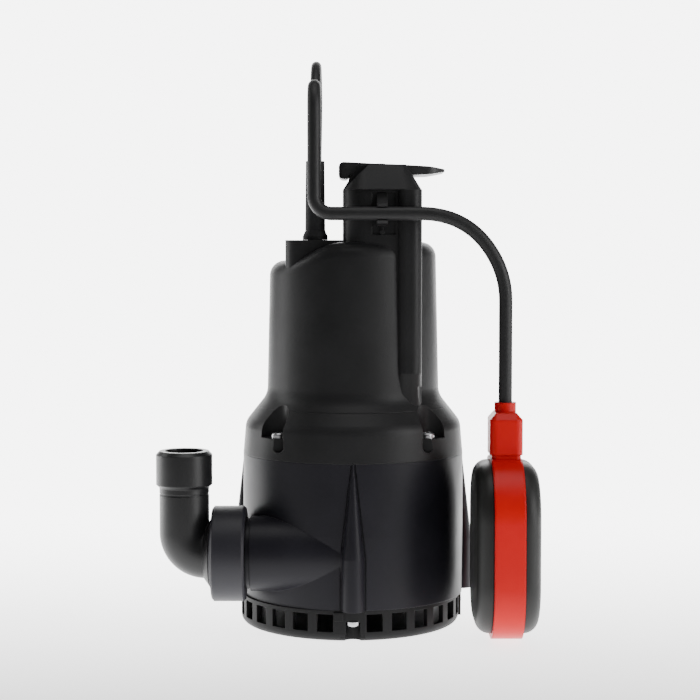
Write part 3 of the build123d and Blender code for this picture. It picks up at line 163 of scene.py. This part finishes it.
FINISH = {
    "cover": material("cover", (0.0130, 0.0130, 0.0135), rough=0.44, specular=0.19, grain=0.05,
                      grain_size=0.9, wear_and_sheen=0.35, edge=0.6),
    "housing": material("housing", (0.0085, 0.0080, 0.0112), rough=0.43, specular=0.18, grain=0.05,
                        grain_size=0.9, wear_and_sheen=0.3, edge=0.7),
    "nut": material("nut", (0.0135, 0.0130, 0.0175), rough=0.48, specular=0.34, grain=0.05,
                    grain_size=0.8, wear_and_sheen=0.3, edge=0.8),
    "elbow": material("elbow", (0.0085, 0.0085, 0.009), rough=0.38, specular=0.38, grain=0.04,
                      grain_size=0.8, wear_and_sheen=0.3, edge=0.8),
    "base": material("base", (0.0035, 0.0035, 0.0038), rough=0.55, specular=0.2, grain=0.05,
                     grain_size=0.8, wear_and_sheen=0.3, edge=0.5),
    "handle": material("handle", (0.014, 0.014, 0.0145), rough=0.45, specular=0.4, grain=0.04,
                       grain_size=0.8, wear_and_sheen=0.35, edge=0.8),
    "boot": material("boot", (0.012, 0.012, 0.013), rough=0.6, specular=0.3, grain=0.06,
                     grain_size=0.6, edge=0.8),
    "cable": material("cable", (0.010, 0.010, 0.0105), rough=0.52, specular=0.35, grain=0.05,
                      grain_size=0.7, edge=0.2),
    "plug": material("plug", (0.015, 0.015, 0.016), rough=0.5, specular=0.35, grain=0.06,
                     grain_size=0.7, edge=0.6),
    "float_red": material("float_red", (0.52, 0.0012, 0.0016), rough=0.38, specular=0.22,
                          grain=0.05, grain_size=1.1, mottle=0.06, edge=1.6),
    "float_grey": material("float_grey", (0.0095, 0.0098, 0.0092), rough=0.5, specular=0.35,
                           grain=0.07, grain_size=1.0, edge=1.0),
    "steel": material("steel", (0.48, 0.48, 0.49), rough=0.28, metallic=1.0, grain=0.02,
                      grain_size=0.25, edge=0.25, streak=(1.0, 6.0, 1.0)),
    "brass": material("brass", (0.78, 0.62, 0.32), rough=0.25, metallic=1.0, grain=0.01,
                      grain_size=0.3, edge=0.3),
    "aluminium": material("aluminium", (0.66, 0.67, 0.69), rough=0.4, metallic=1.0, grain=0.03,
                          grain_size=0.5, edge=0.4),
    "laminations": material("laminations", (0.20, 0.20, 0.21), rough=0.45, metallic=0.9, grain=0.05,
                            grain_size=0.5, edge=0.2, streak=(0.1, 0.1, 1.0)),
    "copper": material("copper", (0.62, 0.28, 0.13), rough=0.4, metallic=0.8, grain=0.25,
                       grain_size=0.9, edge=0.4, streak=(1.0, 1.0, 0.15)),
    "ceramic": material("ceramic", (0.82, 0.80, 0.76), rough=0.2, grain=0.0, edge=0.3),
    "rubber": material("rubber", (0.012, 0.012, 0.012), rough=0.65, specular=0.3, grain=0.04,
                       grain_size=0.5, edge=0.3),
    "impeller": material("impeller", (0.055, 0.055, 0.055), rough=0.5, grain=0.03, grain_size=0.6,
                         edge=0.4),
    "inner_plastic": material("inner_plastic", (0.52, 0.50, 0.45), rough=0.5, grain=0.03,
                              grain_size=0.6, edge=0.4),
}


def dress(obj, finish):
    obj.data.materials.clear()
    obj.data.materials.append(FINISH[finish])


for part in frame["record"]["subparts"]:
    dress(NODES[part["node"]], part["material_slot"])

# ---- cords ----------------------------------------------------------------------------------
FLOAT_CABLE_D = 7.8 * MM
POWER_CABLE_D = 6.2 * MM


def nurbs_line(name, points, diameter=0.0):
    """A smooth cord with these points, in mm, as its control points."""
    curve = bpy.data.curves.new(name, "CURVE")
    curve.dimensions = "3D"
    curve.resolution_u = 8
    curve.bevel_depth = diameter / 2
    curve.bevel_resolution = 6
    curve.use_fill_caps = diameter > 0
    spline = curve.splines.new("NURBS")
    spline.points.add(len(points) - 1)
    for control, (x, y, z) in zip(spline.points, points):
        control.co = (x * MM, y * MM, z * MM, 1)
    spline.order_u = 3
    spline.use_endpoint_u = True
    obj = bpy.data.objects.new(name, curve)
    SCENE.collection.objects.link(obj)
    return obj


def as_mesh(obj):
    """The curve's mesh, with the curve removed."""
    bpy.context.view_layer.update()
    mesh = bpy.data.meshes.new_from_object(obj.evaluated_get(bpy.context.evaluated_depsgraph_get()))
    bpy.data.objects.remove(obj)
    return mesh


FLOAT_ROUTE = [
    (-22.2, -22.5, 273.0),
    (-22.2, -22.5, 298.0),
    (-22.2, -22.5, 309.2),
    (-22.2, -30.6, 317.3),
    (-22.2, -42.2, 317.3),
    (-22.2, -50.3, 309.2),
    (-22.2, -50.3, 297.8),
    (-22.2, -50.3, 258.1),
    (-22.2, -50.3, 249.9),
    (-16.4, -50.3, 244.1),
    (-8.2, -50.3, 244.1),
    (24.3, -50.3, 244.1),
    (52.6, -50.3, 244.1),
    (73.6, -50.3, 232.0),
    (87.4, -50.3, 208.0),
    (87.4, -50.3, 180.0),
    (87.4, -50.3, 112.0),
]
line = as_mesh(nurbs_line("float_cord_line", FLOAT_ROUTE))
tube = as_mesh(nurbs_line("float_cord_tube", FLOAT_ROUTE, FLOAT_CABLE_D))
float_cord = bpy.data.objects.new("float_cord", tube)
SCENE.collection.objects.link(float_cord)
for face in tube.polygons:
    face.use_smooth = True
dress(float_cord, "cable")
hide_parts("float_cable", "float_tether")
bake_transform(float_cord)

# Mains cable: over backwards, down behind the body, and put away in a coil on the floor.
ARC_R = 35.0
ARC_MID = (22.0, 299.0)
COIL_MID = (0.0, 140.0)
COIL_OUTER = 57.2
COIL_STEP = 6.4
COIL_COLUMNS = [0, 1, 2, 3, 4, 5, 4, 3, 2, 1, 0, 1, 2, 3, 2, 1, 0]
COIL_FLOOR = 3.4
COIL_LAYER = 6.3


def coil_points(per_turn=16):
    """Turns wound clockwise, layer on layer, stepping sideways at one place and up opposite it."""
    points = []
    layer = 0
    for turn, column in enumerate(COIL_COLUMNS):
        after = COIL_COLUMNS[min(turn + 1, len(COIL_COLUMNS) - 1)]
        before = COIL_COLUMNS[max(turn - 1, 0)]
        climbs = 0 < turn < len(COIL_COLUMNS) - 1 and before == after
        first = 2 if turn == 0 else 0
        last = 5 if turn == len(COIL_COLUMNS) - 1 else per_turn
        for i in range(first, last):
            share = i / per_turn
            side = max(0.0, (share - 0.8) / 0.2) * (after - column)
            lift = min(1.0, max(0.0, (share - 0.4) / 0.2)) if climbs else 0.0
            radius = COIL_OUTER - COIL_STEP * (column + side)
            angle = radians(225 - 360 * share)
            points.append((COIL_MID[0] + radius * cos(angle), COIL_MID[1] + radius * sin(angle),
                           COIL_FLOOR + COIL_LAYER * (layer + lift)))
        layer += climbs
    return points


POWER_ROUTE = [(-22.2, -13.0, 273.0), (-22.2, -13.0, 308.4), (-22.2, -3.6, 324.6),
               (-22.2, 12.6, 334.0), (-22.2, 31.4, 334.0), (-22.2, 47.6, 324.6),
               (-22.2, 57.0, 308.4), (-23.2, 59.5, 266.0), (-24.6, 62.5, 222.0),
               (-27.0, 65.0, 176.0), (-31.0, 67.5, 132.0), (-36.0, 71.0, 92.0),
               (-43.0, 77.5, 62.0), (-50.0, 88.5, 38.0), (-55.0, 102.5, 18.0),
               (-56.8, 116.0, 8.5)]
TAIL_ROUTE = [(-31.0, 192.0, 20.5), (-20.2, 201.0, 19.0), (-7.7, 205.2, 18.5), (8.0, 205.2, 18.5)]
power_cord = nurbs_line("power_cord", POWER_ROUTE + coil_points() + TAIL_ROUTE, POWER_CABLE_D)
power_cord.data.materials.append(FINISH["cable"])
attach(power_cord, "pump")
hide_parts("power_cable", "power_coil", "power_tail")

# ---- stage and lights -----------------------------------------------------------------------
WALL = 6.5              # radiance of the studio wall behind the pump, and of the floor at its foot
ROOM = 0.16             # radiance of the rest of the room
FLOOR_REACH = 2.6       # radius of the floor, in m
FLOOR_SIDES, FLOOR_RINGS = 64, 10


def add_floor():
    """A pale round floor, which passes into the lit wall behind the pump."""
    mesh = bpy.data.meshes.new("floor")
    ring = FLOOR_SIDES
    verts = [(0, 0, 0)]
    for k in range(1, FLOOR_RINGS + 1):
        radius = FLOOR_REACH * (k / FLOOR_RINGS) ** 1.5
        verts += [(radius * cos(2 * pi * i / ring), radius * sin(2 * pi * i / ring), 0)
                  for i in range(ring)]
    faces = [(0, 1 + i, 1 + (i + 1) % ring) for i in range(ring)]
    for k in range(1, FLOOR_RINGS):
        a, b = 1 + (k - 1) * ring, 1 + k * ring
        faces += [(a + i, b + i, b + (i + 1) % ring, a + (i + 1) % ring) for i in range(ring)]
    mesh.from_pydata(verts, [], faces)
    floor = bpy.data.objects.new("floor", mesh)
    floor.location.z = -0.0004
    SCENE.collection.objects.link(floor)

    mat = bpy.data.materials.new("floor")
    mat.use_nodes = True
    nodes, links = mat.node_tree.nodes, mat.node_tree.links
    shader = nodes["Principled BSDF"]
    shader.inputs["Base Color"].default_value = (0.90, 0.90, 0.90, 1)
    shader.inputs["Roughness"].default_value = 0.9
    shader.inputs["Specular IOR Level"].default_value = 0.1
    glow = nodes.new("ShaderNodeEmission")
    glow.inputs["Color"].default_value = (1, 1, 1, 1)
    glow.inputs["Strength"].default_value = WALL
    place = nodes.new("ShaderNodeTexCoord")
    # the glow grows from the front to the back
    where = nodes.new("ShaderNodeSeparateXYZ")
    links.new(place.outputs["Object"], where.inputs["Vector"])
    fade = nodes.new("ShaderNodeMapRange")
    fade.interpolation_type = "SMOOTHSTEP"
    fade.inputs["From Min"].default_value = -0.46
    fade.inputs["From Max"].default_value = 0.40
    fade.inputs["To Min"].default_value = 0.0
    fade.inputs["To Max"].default_value = 1.0
    links.new(where.outputs["Y"], fade.inputs["Value"])
    # and dies away to the sides, so that it doesn't light the pump's edges
    across = nodes.new("ShaderNodeMath")
    across.operation = "ABSOLUTE"
    links.new(where.outputs["X"], across.inputs[0])
    sides = nodes.new("ShaderNodeMapRange")
    sides.interpolation_type = "SMOOTHSTEP"
    sides.inputs["From Min"].default_value = 0.74
    sides.inputs["From Max"].default_value = 1.05
    sides.inputs["To Min"].default_value = 1.0
    sides.inputs["To Max"].default_value = 0.05
    links.new(across.outputs["Value"], sides.inputs["Value"])
    glowing = nodes.new("ShaderNodeMath")
    glowing.operation = "MULTIPLY"
    links.new(fade.outputs["Result"], glowing.inputs[0])
    links.new(sides.outputs["Result"], glowing.inputs[1])
    mix = nodes.new("ShaderNodeMixShader")
    links.new(glowing.outputs["Value"], mix.inputs["Fac"])
    links.new(shader.outputs["BSDF"], mix.inputs[1])
    links.new(glow.outputs["Emission"], mix.inputs[2])
    links.new(mix.outputs["Shader"], nodes["Material Output"].inputs["Surface"])
    mesh.materials.append(mat)


def add_world():
    """A pale studio wall behind the pump and a dimmer room in front of it."""
    world = bpy.data.worlds.new("studio")
    world.use_nodes = True
    nodes, links = world.node_tree.nodes, world.node_tree.links
    back = nodes["Background"]
    place = nodes.new("ShaderNodeTexCoord")
    split = nodes.new("ShaderNodeSeparateXYZ")
    links.new(place.outputs["Generated"], split.inputs["Vector"])
    fade = nodes.new("ShaderNodeMapRange")
    fade.interpolation_type = "SMOOTHSTEP"
    fade.inputs["From Min"].default_value = 0.78
    fade.inputs["From Max"].default_value = 0.972
    fade.inputs["To Min"].default_value = ROOM
    fade.inputs["To Max"].default_value = WALL
    links.new(split.outputs["Y"], fade.inputs["Value"])
    links.new(fade.outputs["Result"], back.inputs["Strength"])
    back.inputs["Color"].default_value = (1, 1, 1, 1)
    SCENE.world = world


LIT_POINT = Vector((0, 0, 0.14))


def softbox(name, azimuth, distance, height, size, power):
    """A rectangular light that faces the pump; azimuth 0 is the camera's side, 90 its right."""
    data = bpy.data.lights.new(name, "AREA")
    data.shape = "RECTANGLE"
    data.size, data.size_y = size
    data.energy = power
    light = bpy.data.objects.new(name, data)
    a = radians(azimuth)
    light.location = (distance * sin(a), -distance * cos(a), height)
    aim = LIT_POINT - light.location
    light.rotation_euler = aim.to_track_quat("-Z", "Y").to_euler()
    SCENE.collection.objects.link(light)


add_floor()
add_world()
softbox("strip_left", -108, 1.0, 0.35, (0.28, 1.1), 5.5)
softbox("broad_right", 60, 1.3, 0.45, (0.6, 1.1), 14)
softbox("rim_right", 118, 1.1, 0.35, (0.5, 1.1), 0.3)
softbox("top", 10, 0.25, 1.4, (0.9, 0.9), 6)
